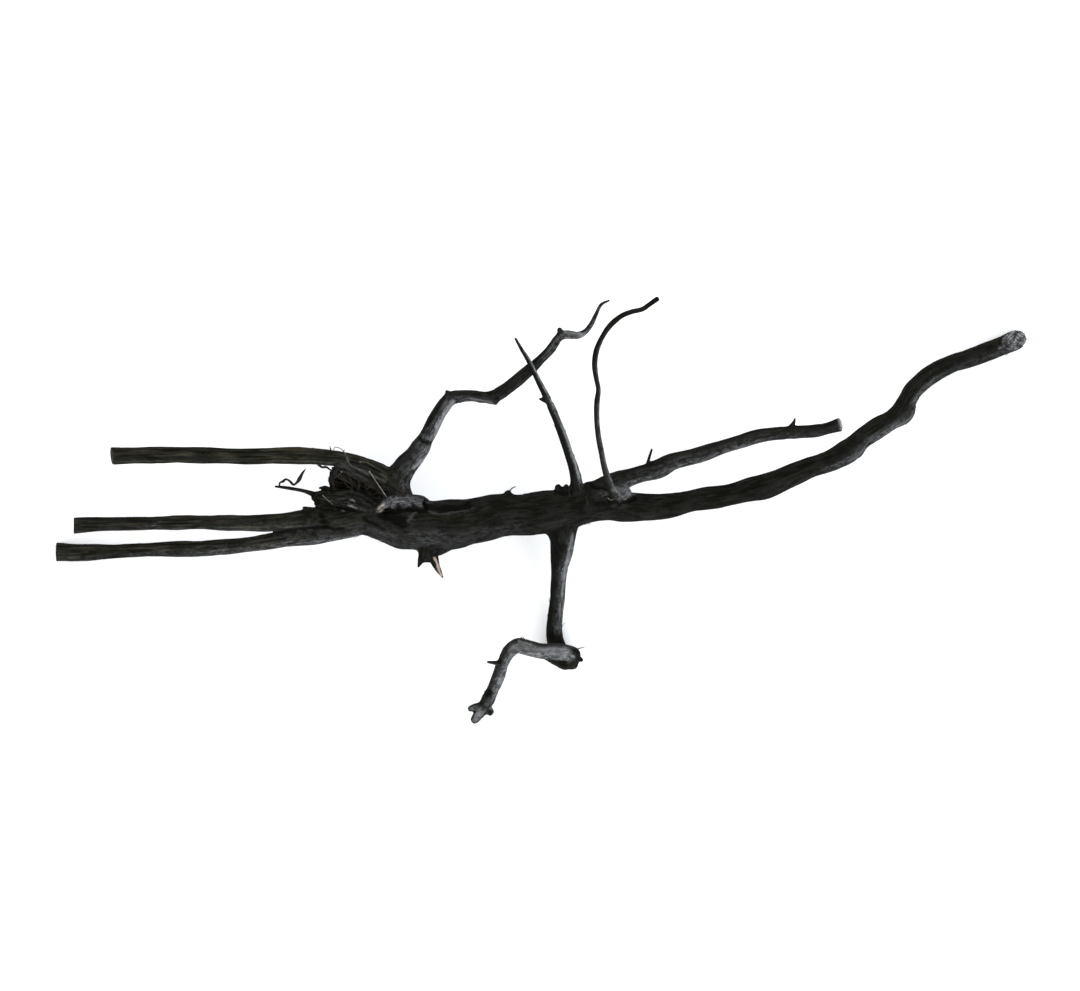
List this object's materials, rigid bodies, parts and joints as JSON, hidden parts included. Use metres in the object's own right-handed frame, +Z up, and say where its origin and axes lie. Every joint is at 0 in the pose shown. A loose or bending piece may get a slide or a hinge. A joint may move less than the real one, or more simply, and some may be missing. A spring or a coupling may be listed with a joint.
{
  "type": "dry root",
  "caption": "Gnarled dry woody root: thick stem with a torn crown, long sawn-off side roots, a hooked root, crooked branches and thin twigs, lying on a surface.",
  "frame": {"origin": "on the surface that the root rests on, under the middle of its outline", "axes": "+X along the stem, from the torn crown and its sawn roots to the forked branches; +Y away from the hooked root, towards the twigs; +Z up, off the surface it rests on"},
  "size_m": [0.6535, 0.2849, 0.1396],
  "materials": {
    "root_wood": "matt weathered bark and bare dry wood, fibrous, with dusty grey patches"
  },
  "bodies": {
    "root": {"dry_root": "root_wood"}
  },
  "joints": []
}
